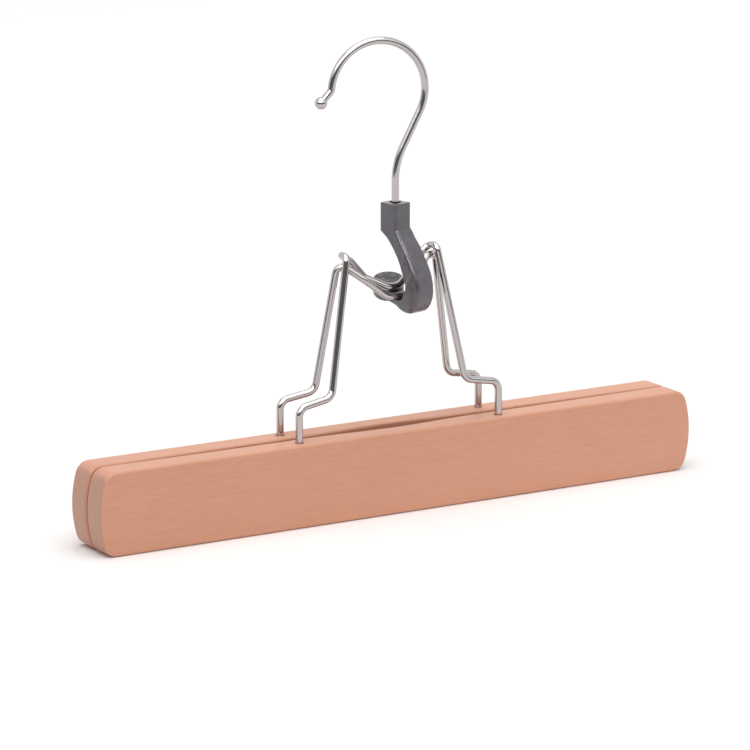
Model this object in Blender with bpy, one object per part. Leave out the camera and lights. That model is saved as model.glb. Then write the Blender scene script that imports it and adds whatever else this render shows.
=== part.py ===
"""Clamp hanger for hair extensions: two wooden jaws on bent wire frames, a lock clip and a hook.

The two wire frames hook into each other at their top corners, and that is the hinge.
Each frame's crossbar sags to the far side of the hinge. The lock clip carries both crossbars
in its cup, so lifting the hook lifts them and presses the jaws shut. Pressing the clip's thumb
knob lowers the clip off the crossbars and lets the jaws open.

Units are metres, +Z is up, X runs along the jaws, and the front jaw is on the -Y side.
The hanger stands on the undersides of its jaws, with the origin in the middle below it.
"""
import math

import bmesh
import bpy
from mathutils import Matrix, Vector

# Fits between pieces
SEAT_CLEARANCE = 0.0003
HINGE_PLAY = 0.0006

# Wooden jaw bars
BAR_LENGTH = 0.250
BAR_HEIGHT = 0.0306
BAR_THICKNESS = 0.0106
JAW_GAP = 0.0012
HOLLOW_DEPTH = 0.0011
SCOOP_DEPTH = 0.0018
SCOOP_REACH = 0.034
END_BULGE = 0.0030
TOP_CORNER_RADIUS = 0.0034
BOTTOM_CORNER_RADIUS = 0.0034
OUTER_EDGE_RADIUS = 0.0010
INNER_EDGE_RADIUS = 0.0013
BAR_STATIONS = 40

# Felt strips seated in a shallow rebate of each inner face
LINING_THICKNESS = 0.0012
LINING_PROUD = 0.0003
LINING_END_MARGIN = 0.007
LINING_EDGE_MARGIN = 0.004

# Bent wire frames
WIRE_DIAMETER = 0.0027
WIRE_SIDES_LEVEL = 3
FOOT_SPREAD = 0.0422
FOOT_OFFSET = 0.0069
FOOT_DEPTH = 0.0120
ELBOW_RISE = 0.0126
JOG_RISE = 0.0022
KNEE_SPREAD = 0.0282
KNEE_OFFSET = 0.0061
ELBOW_RADIUS = 0.0036
KNEE_RADIUS = 0.0042
HINGE_RISE = 0.06285
HINGE_OFFSET = 0.0012

# Front frame: an arch at each top corner, then a crossbar that sags behind the rear frame's
ARCH_SPREAD = 0.0190
ARCH_FRONT_REACH = 0.0024
ARCH_REAR_REACH = 0.0026
ARCH_RADIUS = 0.0021
BREAK_SPREAD = 0.0146
BREAK_REACH = 0.0022
BREAK_DROP = 0.0012
UPPER_SHOULDER_SPREAD = 0.0096
UPPER_SHOULDER_REACH = 0.0008
UPPER_SHOULDER_DROP = 0.0075
UPPER_DROP = 0.0113
UPPER_SEAT_REACH = 0.0021
UPPER_SEAT_LEFT = 0.0016
UPPER_SEAT_RIGHT = 0.0030

# Rear frame: each top corner passes under an arch, then a lower crossbar sags in front
UNDER_SPREAD = 0.0206
UNDER_REACH = 0.0014
UNDER_RADIUS = 0.0026
LEFT_CORNER_RISE = 0.0009
RIGHT_TURN_SPREAD = 0.0146
RIGHT_TURN_REACH = 0.0019
RIGHT_TURN_RADIUS = 0.0030
LEFT_SHOULDER_SPREAD = 0.0126
LEFT_SHOULDER_DROP = 0.0071
RIGHT_SHOULDER_SPREAD = 0.0104
RIGHT_SHOULDER_DROP = 0.0089
LOWER_SHOULDER_REACH = 0.0037
LOWER_DROP = 0.01435
LOWER_SEAT_REACH = 0.0039
LOWER_SEAT_LEFT = 0.0028
LOWER_SEAT_RIGHT = 0.0068

# Bends of the crossbars
SHOULDER_RADIUS = 0.0050
SEAT_RADIUS = 0.0060

# Lock clip: a square block, an arm that curves forward and down, a cup and a thumb knob
CLIP_TURN = math.radians(14.0)
CLIP_WIDTH = 0.0082
ARM_FLARE = 0.00065
BLOCK_HEIGHT = 0.0105
CLIP_X = 0.00406
CLIP_Y = 0.0032
ARM_HEIGHT = 0.0242
ARM_REACH = 0.0156
CUP_REACH = 0.0095
CUP_WALL = 0.0044
TOP_EDGE_RADIUS = 0.0005
BLOCK_EDGE_RADIUS = 0.0011
ARM_EDGE_RADIUS = 0.0016
CUP_EDGE_RADIUS = 0.0005
PANEL_RISE = 0.0003
PANEL_INSET = 0.0005
PANEL_FOOT_HEIGHT = 0.0098
PANEL_LENGTH = 0.0156
KNOB_RADIUS = 0.00565
KNOB_THICKNESS = 0.0075
KNOB_SETBACK = 0.00348
KNOB_HEIGHT = 0.0062
KNOB_TILT = math.radians(15.0)
KNOB_RIM_RADIUS = 0.0007
KNOB_HEEL_RADIUS = 0.0022

# Wire hook, its headed stem and the ball at its tip
HOOK_DIAMETER = 0.0028
HOOK_TURN = math.radians(-8.0)
HOOK_RADIUS = 0.01825
HOOK_SETBACK = 0.0067
HOOK_RISE = 0.0411
HOOK_LOOP_END = math.radians(176.0)
STEM_BEND_RADIUS = 0.0260
STEM_BEND_RISE = 0.0080
HEAD_DIAMETER = 0.0044
HEAD_THICKNESS = 0.0010
HEAD_DEPTH = 0.0075
HEAD_EDGE = 0.00005
BALL_DIAMETER = 0.0046
TIP_DROP = 0.0043
TIP_REACH = 0.0040
BALL_POLE = 0.12
RECESS_DIAMETER = 0.0046
RECESS_DEPTH = 0.0008

# Values that follow from the sizes above
WIRE_RADIUS = WIRE_DIAMETER / 2
HINGE_Z = BAR_HEIGHT + HINGE_RISE
HINGE_CENTRE = Vector((0.0, HINGE_OFFSET, HINGE_Z))
CUP_FLOOR_Z = HINGE_Z - LOWER_DROP - WIRE_RADIUS - SEAT_CLEARANCE
BLOCK_BOTTOM_Z = CUP_FLOOR_Z + ARM_HEIGHT
BLOCK_TOP_Z = BLOCK_BOTTOM_Z + BLOCK_HEIGHT
CLIP_AXIS = Vector((CLIP_X, CLIP_Y, 0.0))
CLIP_FORWARD = Vector((math.sin(CLIP_TURN), -math.cos(CLIP_TURN), 0.0))
CLIP_SIDE = Vector((math.cos(CLIP_TURN), math.sin(CLIP_TURN), 0.0))
KNOB_LEAN = (CLIP_FORWARD - CLIP_SIDE).normalized()


def clear_scene():
    for item in list(bpy.data.objects):
        bpy.data.objects.remove(item)


def material(name, colour, roughness, metallic):
    made = bpy.data.materials.new(name)
    made.use_nodes = True
    shader = made.node_tree.nodes["Principled BSDF"]
    shader.inputs["Base Color"].default_value = (*colour, 1.0)
    shader.inputs["Roughness"].default_value = roughness
    shader.inputs["Metallic"].default_value = metallic
    return made


def place(thing, parent, finish):
    """Link an object, hang it on its parent empty and give it its own material."""
    bpy.context.scene.collection.objects.link(thing)
    if parent is not None:
        thing.parent = parent
        thing.matrix_parent_inverse = Matrix.Translation(-parent.location)
    if finish is not None:
        thing.data.materials.append(finish)
    return thing


def pivot(name, location):
    """An empty on a joint's axis, which carries the pieces that move with it."""
    empty = bpy.data.objects.new(name, None)
    empty.location = location
    bpy.context.scene.collection.objects.link(empty)
    return empty


def mesh_object(name, bm, parent, finish):
    bmesh.ops.recalc_face_normals(bm, faces=bm.faces)
    mesh = bpy.data.meshes.new(name)
    bm.to_mesh(mesh)
    bm.free()
    return place(bpy.data.objects.new(name, mesh), parent, finish)


def cutter_object(name, bm):
    cutter = mesh_object(name, bm, None, None)
    cutter.hide_render = True
    cutter.display_type = "WIRE"
    return cutter


def combine(body, other, operation):
    step = body.modifiers.new(operation.title() + " " + other.name, "BOOLEAN")
    step.operation = operation
    step.solver = "EXACT"
    step.object = other


def round_edges(body, width, segments, angle):
    step = body.modifiers.new("Edges", "BEVEL")
    step.width = width
    step.segments = segments
    step.limit_method = "ANGLE"
    step.angle_limit = angle


def shade(body, angle=35.0):
    body.data.shade_smooth()
    body.data.set_sharp_from_angle(angle=math.radians(angle))


def loft(rings):
    """A closed solid through rings of points that all have the same count."""
    bm = bmesh.new()
    loops = [[bm.verts.new(point) for point in ring] for ring in rings]
    for low, high in zip(loops[:-1], loops[1:]):
        for index, vertex in enumerate(low):
            after = (index + 1) % len(low)
            bm.faces.new((vertex, low[after], high[after], high[index]))
    bm.faces.new(list(reversed(loops[0])))
    bm.faces.new(loops[-1])
    return bm


def arc(centre, radius, start, end, count):
    """Points of an arc in a plane, from start to end in radians."""
    angles = [start + (end - start) * step / count for step in range(count + 1)]
    return [(centre[0] + radius * math.cos(a), centre[1] + radius * math.sin(a)) for a in angles]


def smooth_curve(points, count):
    """A Catmull-Rom curve in a plane through all the points, with count steps a span."""
    ends = [tuple(2 * a - b for a, b in zip(points[0], points[1]))]
    tail = [tuple(2 * a - b for a, b in zip(points[-1], points[-2]))]
    run = ends + list(points) + tail
    curve = []
    for a, b, c, d in zip(run[:-3], run[1:-2], run[2:-1], run[3:]):
        for step in range(count):
            t = step / count
            curve.append(tuple(
                0.5 * (2 * q + (r - p) * t + (2 * p - 5 * q + 4 * r - s) * t ** 2
                       + (3 * q - p - 3 * r + s) * t ** 3)
                for p, q, r, s in zip(a, b, c, d)))
    curve.append(tuple(points[-1]))
    return curve


def bent_wire(corners):
    """Centreline of a bent wire: straight runs joined by arcs of each corner's bend radius."""
    spots = [Vector(spot) for spot, radius in corners]
    path = [spots[0]]
    for before, (spot, radius), after in zip(spots[:-2], corners[1:-1], spots[2:]):
        here = Vector(spot)
        back = (before - here).normalized()
        ahead = (after - here).normalized()
        half = back.angle(ahead) / 2
        centre = here + (back + ahead).normalized() * radius / math.sin(half)
        start = here + back * radius / math.tan(half) - centre
        end = here + ahead * radius / math.tan(half) - centre
        turn = math.pi - 2 * half
        steps = max(2, math.ceil(turn / 0.26))
        for step in range(steps + 1):
            share = step / steps
            blend = start * math.sin((1 - share) * turn) + end * math.sin(share * turn)
            path.append(centre + blend / math.sin(turn))
    path.append(spots[-1])
    return path


def wire_object(name, path, radius, parent, finish, swell=None):
    """A round wire along a path. swell holds each point's radius as a share of the wire's."""
    curve = bpy.data.curves.new(name, "CURVE")
    curve.dimensions = "3D"
    curve.bevel_depth = radius
    curve.bevel_resolution = WIRE_SIDES_LEVEL
    curve.use_fill_caps = True
    spline = curve.splines.new("POLY")
    spline.points.add(len(path) - 1)
    for index, spot in enumerate(path):
        spline.points[index].co = (*spot, 1.0)
        if swell is not None:
            spline.points[index].radius = swell[index]
    spline.use_smooth = True
    return place(bpy.data.objects.new(name, curve), parent, finish)


def inner_face(x):
    """How far a bar's hollow inner face lies from the middle plane at x."""
    scoop = (1 + math.cos(math.pi * min(1.0, abs(x) / SCOOP_REACH))) / 2
    return JAW_GAP / 2 + HOLLOW_DEPTH * (1 - (2 * x / BAR_LENGTH) ** 2) + SCOOP_DEPTH * scoop


def curved_slab(side, half_length, near, far, bottom, top):
    """A slab that follows the hollow inner face; near and far give its two faces at x."""
    rings = []
    for step in range(BAR_STATIONS + 1):
        x = half_length * (2 * step / BAR_STATIONS - 1)
        rings.append([(x, side * y, z) for y, z in
                      ((near(x), bottom), (far(x), bottom), (far(x), top), (near(x), top))])
    return loft(rings)


def bar_outline():
    """The bar seen from the front: straight long edges, barrel ends and rounded corners."""
    half = BAR_LENGTH / 2
    middle = BAR_HEIGHT / 2
    end_radius = (middle ** 2 + END_BULGE ** 2) / (2 * END_BULGE)
    centre_x = half - end_radius
    right = []
    for radius, sign in ((BOTTOM_CORNER_RADIUS, -1), (TOP_CORNER_RADIUS, 1)):
        reach = end_radius - radius
        drop = middle - radius
        corner_x = centre_x + math.sqrt(reach ** 2 - drop ** 2)
        meet = math.atan2(sign * drop, corner_x - centre_x)
        corner = arc((corner_x, middle + sign * drop), radius, sign * math.pi / 2, meet, 4)
        right.append((corner, meet))
    (low_corner, low_meet), (high_corner, high_meet) = right
    end = arc((centre_x, middle), end_radius, low_meet, high_meet, 8)
    side = low_corner + end[1:-1] + list(reversed(high_corner))
    return side + [(-x, z) for x, z in reversed(side)]


def build_bar(name, side, parent, finish):
    """One jaw bar. side is -1 for the front bar and 1 for the rear bar."""
    outline = bar_outline()
    outer = JAW_GAP / 2 + BAR_THICKNESS
    bm = loft([[(x, side * y, z) for x, z in outline] for y in (JAW_GAP / 2, outer)])
    rim = [edge for edge in bm.edges
           if all(abs(abs(vertex.co.y) - outer) < 1e-7 for vertex in edge.verts)]
    bmesh.ops.bevel(bm, geom=rim, offset=OUTER_EDGE_RADIUS, segments=4, profile=0.5,
                    affect="EDGES", material=-1)
    bar = mesh_object(name, bm, parent, finish)

    hollow = cutter_object(name + "_hollow", curved_slab(
        side, 0.6 * BAR_LENGTH, lambda x: -BAR_THICKNESS, inner_face, -BAR_HEIGHT, 2 * BAR_HEIGHT))
    combine(bar, hollow, "DIFFERENCE")
    round_edges(bar, INNER_EDGE_RADIUS, 2, math.radians(50.0))

    rebate_depth = LINING_THICKNESS + SEAT_CLEARANCE - LINING_PROUD
    margin = LINING_EDGE_MARGIN - SEAT_CLEARANCE
    rebate = cutter_object(name + "_rebate", curved_slab(
        side, BAR_LENGTH / 2 - LINING_END_MARGIN + SEAT_CLEARANCE, lambda x: -BAR_THICKNESS,
        lambda x: inner_face(x) + rebate_depth, margin, BAR_HEIGHT - margin))
    combine(bar, rebate, "DIFFERENCE")

    for end in (-1, 1):
        bore = bmesh.new()
        depth = FOOT_DEPTH + SEAT_CLEARANCE
        centre_z = BAR_HEIGHT + (FOOT_DEPTH - depth) / 2
        bmesh.ops.create_cone(
            bore, cap_ends=True, segments=24, radius1=WIRE_RADIUS + SEAT_CLEARANCE,
            radius2=WIRE_RADIUS + SEAT_CLEARANCE, depth=depth + FOOT_DEPTH,
            matrix=Matrix.Translation((end * FOOT_SPREAD, side * FOOT_OFFSET, centre_z)))
        combine(bar, cutter_object(name + "_bore_" + ("left", "right")[end > 0], bore),
                "DIFFERENCE")
    shade(bar)
    return bar


def build_lining(name, side, parent, finish):
    """The felt strip of one jaw, which stands a little proud of the wood."""
    def outer(x):
        return inner_face(x) - LINING_PROUD

    def inner(x):
        return outer(x) + LINING_THICKNESS

    bm = curved_slab(side, BAR_LENGTH / 2 - LINING_END_MARGIN, outer, inner,
                     LINING_EDGE_MARGIN, BAR_HEIGHT - LINING_EDGE_MARGIN)
    lining = mesh_object(name, bm, parent, finish)
    shade(lining)
    return lining


def leg(sign, side):
    """Foot, elbow and knee of one leg, from the bar upwards."""
    elbow_z = BAR_HEIGHT + ELBOW_RISE
    return [
        ((sign * FOOT_SPREAD, side * FOOT_OFFSET, BAR_HEIGHT - FOOT_DEPTH), 0.0),
        ((sign * FOOT_SPREAD, side * FOOT_OFFSET, elbow_z), ELBOW_RADIUS),
        ((sign * KNEE_SPREAD, side * KNEE_OFFSET, elbow_z + JOG_RISE), KNEE_RADIUS),
    ]


def below_hinge(x, reach, drop, radius):
    """A bend at x, with its reach to the rear of the hinge and its drop below it."""
    return (x, HINGE_OFFSET + reach, HINGE_Z - drop), radius


def front_frame_path():
    """The front frame arches over the hinge, and its crossbar is the upper, rear one."""
    rise = -(WIRE_DIAMETER + HINGE_PLAY) / 2

    def half(sign, seat):
        return leg(sign, -1) + [
            below_hinge(sign * ARCH_SPREAD, -ARCH_FRONT_REACH, rise, ARCH_RADIUS),
            below_hinge(sign * ARCH_SPREAD, ARCH_REAR_REACH, rise, ARCH_RADIUS),
            below_hinge(sign * BREAK_SPREAD, BREAK_REACH, BREAK_DROP, SHOULDER_RADIUS),
            below_hinge(sign * UPPER_SHOULDER_SPREAD, UPPER_SHOULDER_REACH,
                        UPPER_SHOULDER_DROP, SHOULDER_RADIUS),
            below_hinge(seat, -UPPER_SEAT_REACH, UPPER_DROP, SEAT_RADIUS),
        ]
    return bent_wire(half(-1, -UPPER_SEAT_LEFT) + half(1, UPPER_SEAT_RIGHT)[::-1])


def rear_frame_path():
    """The rear frame passes under the arches, and its crossbar is the lower, front one."""
    drop = (WIRE_DIAMETER + HINGE_PLAY) / 2
    left = leg(-1, 1) + [
        below_hinge(-UNDER_SPREAD, UNDER_REACH, drop - LEFT_CORNER_RISE, UNDER_RADIUS),
        below_hinge(-LEFT_SHOULDER_SPREAD, -LOWER_SHOULDER_REACH, LEFT_SHOULDER_DROP,
                    SHOULDER_RADIUS),
        below_hinge(-LOWER_SEAT_LEFT, -LOWER_SEAT_REACH, LOWER_DROP, SEAT_RADIUS),
    ]
    right = leg(1, 1) + [
        below_hinge(UNDER_SPREAD, UNDER_REACH, drop, UNDER_RADIUS),
        below_hinge(RIGHT_TURN_SPREAD, -RIGHT_TURN_REACH, drop, RIGHT_TURN_RADIUS),
        below_hinge(RIGHT_SHOULDER_SPREAD, -LOWER_SHOULDER_REACH, RIGHT_SHOULDER_DROP,
                    SHOULDER_RADIUS),
        below_hinge(LOWER_SEAT_RIGHT, -LOWER_SEAT_REACH, LOWER_DROP, SEAT_RADIUS / 2),
    ]
    return bent_wire(left + right[::-1])


def clip_point(forward, height, across=0.0):
    """A point of the clip: forward of the stem's axis, above the cup's floor, and across."""
    flat = CLIP_AXIS + CLIP_FORWARD * forward + CLIP_SIDE * across
    return flat + Vector((0.0, 0.0, CUP_FLOOR_Z + height))


def arm_sections():
    """The arm's cross-sections, from the block's foot round the cup to the knob's neck.

    Each one is (outer forward, outer height, inner forward, inner height, half width,
    outer edge radius, inner edge radius).
    """
    half = CLIP_WIDTH / 2
    wide = half + ARM_FLARE
    block, arm, cup = BLOCK_EDGE_RADIUS, ARM_EDGE_RADIUS, CUP_EDGE_RADIUS
    return smooth_curve([
        (half, ARM_HEIGHT + 0.0016, -half, ARM_HEIGHT, half, block, block),
        (half + 0.0022, ARM_HEIGHT - 0.0019, -half + 0.0036, ARM_HEIGHT - 0.0023,
         half + ARM_FLARE * 0.2, block, (block + cup) / 2),
        (half + 0.0042, ARM_HEIGHT - 0.0044, -half + 0.0064, ARM_HEIGHT - 0.0050,
         half + ARM_FLARE * 0.45, block, cup),
        (ARM_REACH - 0.0056, ARM_HEIGHT - 0.0068, CUP_REACH - 0.0053, ARM_HEIGHT - 0.0073,
         half + ARM_FLARE * 0.65, block, cup),
        (ARM_REACH - 0.0036, ARM_HEIGHT - 0.0099, CUP_REACH - 0.0035, ARM_HEIGHT - 0.0100,
         half + ARM_FLARE * 0.8, (block + arm) / 2, cup),
        (ARM_REACH - 0.0019, 0.0112, CUP_REACH - 0.0020, 0.0111, wide, (block + arm) / 2, cup),
        (ARM_REACH - 0.0006, 0.0080, CUP_REACH - 0.0006, 0.0079, wide, arm, cup),
        (ARM_REACH, 0.0048, CUP_REACH, 0.0050, wide, arm, cup),
        (ARM_REACH - 0.0002, 0.0014, CUP_REACH - 0.0009, 0.0025, wide, arm, cup),
        (ARM_REACH - 0.0017, -CUP_WALL + 0.0022, CUP_REACH - 0.0019, 0.00075, wide, arm, cup),
        (ARM_REACH - 0.0044, -CUP_WALL, 0.0066, 0.0, half + ARM_FLARE * 0.7, arm, cup),
        (0.0073, -CUP_WALL + 0.0002, 0.0050, 0.0, half + ARM_FLARE * 0.4, arm, cup),
        (0.0039, -CUP_WALL + 0.0019, 0.0032, 0.0001, half, block, cup),
        (0.0010, -CUP_WALL + 0.0030, 0.0010, 0.0011, half, block / 2, cup / 2),
        (-KNOB_SETBACK, -CUP_WALL + 0.0045, -KNOB_SETBACK, 0.0030, half, 0.0, 0.0)], 3)


def clip_solid():
    """The clip without its knob, with a bevel weight on each long edge."""
    half = CLIP_WIDTH / 2
    top = ARM_HEIGHT + BLOCK_HEIGHT
    sections = [(half, top, -half, top, half, BLOCK_EDGE_RADIUS, BLOCK_EDGE_RADIUS)]
    sections += arm_sections()
    bm = loft([[clip_point(out, out_z, -wide), clip_point(out, out_z, wide),
                clip_point(inner, inner_z, wide), clip_point(inner, inner_z, -wide)]
               for out, out_z, inner, inner_z, wide, _, _ in sections])
    bm.verts.ensure_lookup_table()
    weight = bm.edges.layers.float.new("bevel_weight_edge")
    for index, (low, high) in enumerate(zip(sections[:-1], sections[1:])):
        for corner in range(4):
            radius = 5 if corner < 2 else 6
            edge = bm.edges.get((bm.verts[4 * index + corner], bm.verts[4 * index + 4 + corner]))
            edge[weight] = (low[radius] + high[radius]) / 2 / ARM_EDGE_RADIUS
    for corner in range(4):
        edge = bm.edges.get((bm.verts[corner], bm.verts[(corner + 1) % 4]))
        edge[weight] = TOP_EDGE_RADIUS / ARM_EDGE_RADIUS
    return bm


def clip_panel():
    """The low raised tongue on the arm's front."""
    face = [section for section in arm_sections()
            if PANEL_FOOT_HEIGHT < section[1] < PANEL_FOOT_HEIGHT + PANEL_LENGTH]
    rings = []
    for forward, height, _, _, wide, _, _ in face:
        share = (height - PANEL_FOOT_HEIGHT) / PANEL_LENGTH
        reach = (wide - PANEL_INSET) * math.sqrt(1 - (1 - min(1.0, 1.9 * share)) ** 2)
        rings.append([clip_point(forward - PANEL_INSET * 2, height, -reach),
                      clip_point(forward + PANEL_RISE, height, -reach),
                      clip_point(forward + PANEL_RISE, height, reach),
                      clip_point(forward - PANEL_INSET * 2, height, reach)])
    return loft(rings)


def build_clip(parent, finish):
    clip = mesh_object("lock_clip", clip_solid(), parent, finish)
    edges = clip.modifiers.new("Edges", "BEVEL")
    edges.width = ARM_EDGE_RADIUS
    edges.segments = 3
    edges.limit_method = "WEIGHT"
    combine(clip, cutter_object("clip_panel", clip_panel()), "UNION")

    axis = (Vector((0.0, 0.0, 1.0)) + KNOB_LEAN * math.tan(KNOB_TILT)).normalized()
    top = clip_point(-KNOB_SETBACK, KNOB_HEIGHT)
    profile = [(0.0, 0.0)]
    profile += arc((KNOB_RADIUS - KNOB_RIM_RADIUS, -KNOB_RIM_RADIUS), KNOB_RIM_RADIUS,
                   math.pi / 2, 0.0, 3)
    profile += arc((KNOB_RADIUS - KNOB_HEEL_RADIUS, -KNOB_THICKNESS + KNOB_HEEL_RADIUS),
                   KNOB_HEEL_RADIUS, 0.0, -math.pi / 2, 4)
    profile.append((0.0, -KNOB_THICKNESS))
    knob = cutter_object("clip_knob", turned(profile, 32))
    knob.data.transform(axis.to_track_quat("Z", "Y").to_matrix().to_4x4())
    knob.data.transform(Matrix.Translation(top))
    combine(clip, knob, "UNION")

    bore_radius = HOOK_DIAMETER / 2 + SEAT_CLEARANCE
    chamber_radius = HEAD_DIAMETER / 2 + SEAT_CLEARANCE
    floor = -HEAD_DEPTH - HEAD_THICKNESS - SEAT_CLEARANCE
    ceiling = -HEAD_DEPTH + SEAT_CLEARANCE
    socket = turned([
        (0.0, HOOK_DIAMETER), (RECESS_DIAMETER / 2, HOOK_DIAMETER),
        (RECESS_DIAMETER / 2, -RECESS_DEPTH), (bore_radius, -RECESS_DEPTH),
        (bore_radius, ceiling), (chamber_radius, ceiling), (chamber_radius, floor),
        (0.0, floor)], 24)
    bmesh.ops.translate(socket, verts=socket.verts, vec=CLIP_AXIS + Vector((0, 0, BLOCK_TOP_Z)))
    combine(clip, cutter_object("clip_socket", socket), "DIFFERENCE")
    shade(clip)
    return clip


def turned(profile, sides):
    """A solid turned about Z from a profile of (radius, height) pairs that ends on the axis."""
    bm = bmesh.new()
    tip = bm.verts.new((0.0, 0.0, profile[0][1]))
    base = bm.verts.new((0.0, 0.0, profile[-1][1]))
    rings = []
    for radius, height in profile[1:-1]:
        angles = [2 * math.pi * step / sides for step in range(sides)]
        rings.append([bm.verts.new((radius * math.cos(a), radius * math.sin(a), height))
                      for a in angles])
    for index in range(sides):
        after = (index + 1) % sides
        bm.faces.new((tip, rings[0][index], rings[0][after]))
        for high, low in zip(rings[:-1], rings[1:]):
            bm.faces.new((high[index], low[index], low[after], high[after]))
        bm.faces.new((base, rings[-1][after], rings[-1][index]))
    bmesh.ops.recalc_face_normals(bm, faces=bm.faces)
    return bm


def hook_outline():
    """The hook in its own plane: (reach from the stem's axis, height above the block's top)."""
    loop_centre = Vector((-HOOK_SETBACK, HOOK_RISE))
    bend_centre = Vector((STEM_BEND_RADIUS, STEM_BEND_RISE))
    between = loop_centre - bend_centre
    tangent = math.acos(min(1.0, (STEM_BEND_RADIUS + HOOK_RADIUS) / between.length))
    bend_end = math.atan2(between.y, between.x) + tangent
    points = arc(bend_centre, STEM_BEND_RADIUS, math.pi, bend_end, 8)
    points += arc(loop_centre, HOOK_RADIUS, bend_end - math.pi, HOOK_LOOP_END, 36)
    return points


def build_hook(parent, finish):
    side = Vector((math.cos(HOOK_TURN), math.sin(HOOK_TURN), 0.0))
    stem_top = CLIP_AXIS + Vector((0.0, 0.0, BLOCK_TOP_Z))
    up = Vector((0.0, 0.0, 1.0))
    wire = HOOK_DIAMETER / 2
    head = HEAD_DIAMETER / HOOK_DIAMETER
    path = [stem_top - up * (HEAD_DEPTH + HEAD_THICKNESS), stem_top - up * (HEAD_DEPTH + HEAD_EDGE),
            stem_top - up * HEAD_DEPTH]
    swell = [head, head, 1.0]
    for reach, height in hook_outline():
        path.append(stem_top + side * reach + up * height)
        swell.append(1.0)
    kink = path[-1]
    ball_centre = kink - side * TIP_REACH - up * TIP_DROP
    run = (ball_centre - kink).normalized()
    ball = BALL_DIAMETER / 2
    neck = math.asin(wire / ball)
    for index in range(9):
        angle = neck + (math.pi - BALL_POLE - neck) * index / 8
        path.append(ball_centre - run * ball * math.cos(angle))
        swell.append(ball * math.sin(angle) / wire)
    return wire_object("hook", path, wire, parent, finish, swell)


def build():
    clear_scene()
    wood = (0.62, 0.30, 0.20)
    chrome = (0.75, 0.73, 0.74)

    jaw_hinge = pivot("rear_jaw_hinge", HINGE_CENTRE)
    clip_slide = pivot("clip_slide", CLIP_AXIS + Vector((0.0, 0.0, CUP_FLOOR_Z)))
    hook_swivel = pivot("hook_swivel", CLIP_AXIS + Vector((0.0, 0.0, BLOCK_TOP_Z)))

    build_bar("front_bar", -1, None, material("front wood", wood, 0.45, 0.0))
    build_bar("rear_bar", 1, jaw_hinge, material("rear wood", wood, 0.45, 0.0))
    felt = (0.30, 0.17, 0.11)
    build_lining("front_lining", -1, None, material("front felt", felt, 0.95, 0.0))
    build_lining("rear_lining", 1, jaw_hinge, material("rear felt", felt, 0.95, 0.0))
    wire_object("front_wire_frame", front_frame_path(), WIRE_RADIUS, None,
                material("front frame chrome", chrome, 0.12, 1.0))
    wire_object("rear_wire_frame", rear_frame_path(), WIRE_RADIUS, jaw_hinge,
                material("rear frame chrome", chrome, 0.12, 1.0))
    build_clip(clip_slide, material("clip plastic", (0.14, 0.135, 0.145), 0.42, 0.0))
    build_hook(hook_swivel, material("hook chrome", chrome, 0.10, 1.0))


build()
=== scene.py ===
# %% [markdown]
# # A clamp hanger for hair extensions
#
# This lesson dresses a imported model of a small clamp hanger: two wooden jaw bars, two bent wire
# frames that hook into each other, a moulded lock clip and a wire hook that turns in it.
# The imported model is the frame. Every new piece stands where its CAD solid stands and moves with
# the same body, so the hanger still opens, and its hook still turns.

import math

import bmesh
import bpy
from mathutils import Matrix, Vector


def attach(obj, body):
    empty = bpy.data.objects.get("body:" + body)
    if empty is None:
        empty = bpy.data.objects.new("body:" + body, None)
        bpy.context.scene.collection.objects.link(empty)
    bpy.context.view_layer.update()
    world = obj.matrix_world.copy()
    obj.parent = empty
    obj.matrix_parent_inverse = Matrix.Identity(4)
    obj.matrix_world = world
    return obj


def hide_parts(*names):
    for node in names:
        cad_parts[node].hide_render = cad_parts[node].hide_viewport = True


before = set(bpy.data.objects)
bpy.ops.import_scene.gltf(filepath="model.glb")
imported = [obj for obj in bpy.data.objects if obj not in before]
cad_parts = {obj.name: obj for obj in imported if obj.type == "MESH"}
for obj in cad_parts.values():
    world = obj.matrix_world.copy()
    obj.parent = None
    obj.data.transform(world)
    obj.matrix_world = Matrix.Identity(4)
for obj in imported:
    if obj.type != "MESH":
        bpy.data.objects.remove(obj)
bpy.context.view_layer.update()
MM = 0.001

# %% [markdown]
# ## Camera
#
# The camera was fitted to the edges of the bars and wires. It stands 1.7 m away with a long lens,
# to the left of the front and a little above, so that lines along the bars hardly converge.

# %% Place the camera
azimuth, elevation, distance = math.radians(-31.0), math.radians(13.2), 1.705
aim = Vector((-6.42, 0.0, 49.9)) * MM
back = Vector((math.sin(azimuth) * math.cos(elevation),
               -math.cos(azimuth) * math.cos(elevation), math.sin(elevation)))
camera_data = bpy.data.cameras.new("camera")
camera_data.sensor_width = 36.0
camera_data.lens = 225.84
camera_data.clip_end = 20.0
camera = bpy.data.objects.new("camera", camera_data)
camera.location = aim + back * distance
camera.rotation_euler = back.to_track_quat("Z", "Y").to_euler()
bpy.context.scene.collection.objects.link(camera)
bpy.context.scene.camera = camera
bpy.context.scene.view_settings.view_transform = "Standard"
print("camera at", [round(value, 3) for value in camera.location])

# %% [markdown]
# ## Materials as expressions
#
# A node tree is easier to read as a formula. `Signal` wraps one socket, and Python's operators on
# it add Math nodes. `Finish` holds a material: its constants sit on the Principled shader's own
# sockets, and `node` adds any other node, with its settings first and then its sockets.

# %% Signals and finishes
class Signal:
    """One output socket of a finish's node tree."""

    def __init__(self, finish, socket):
        self.finish = finish
        self.socket = socket

    def math(self, operation, *values):
        names = dict(enumerate(values))
        return self.finish.node("ShaderNodeMath", names, operation=operation)

    def __add__(self, other):
        return self.math("ADD", self, other)

    def __sub__(self, other):
        return self.math("SUBTRACT", self, other)

    def __rsub__(self, other):
        return self.math("SUBTRACT", other, self)

    def __mul__(self, other):
        return self.math("MULTIPLY", self, other)

    def sine(self):
        return self.math("SINE", self)


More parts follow.
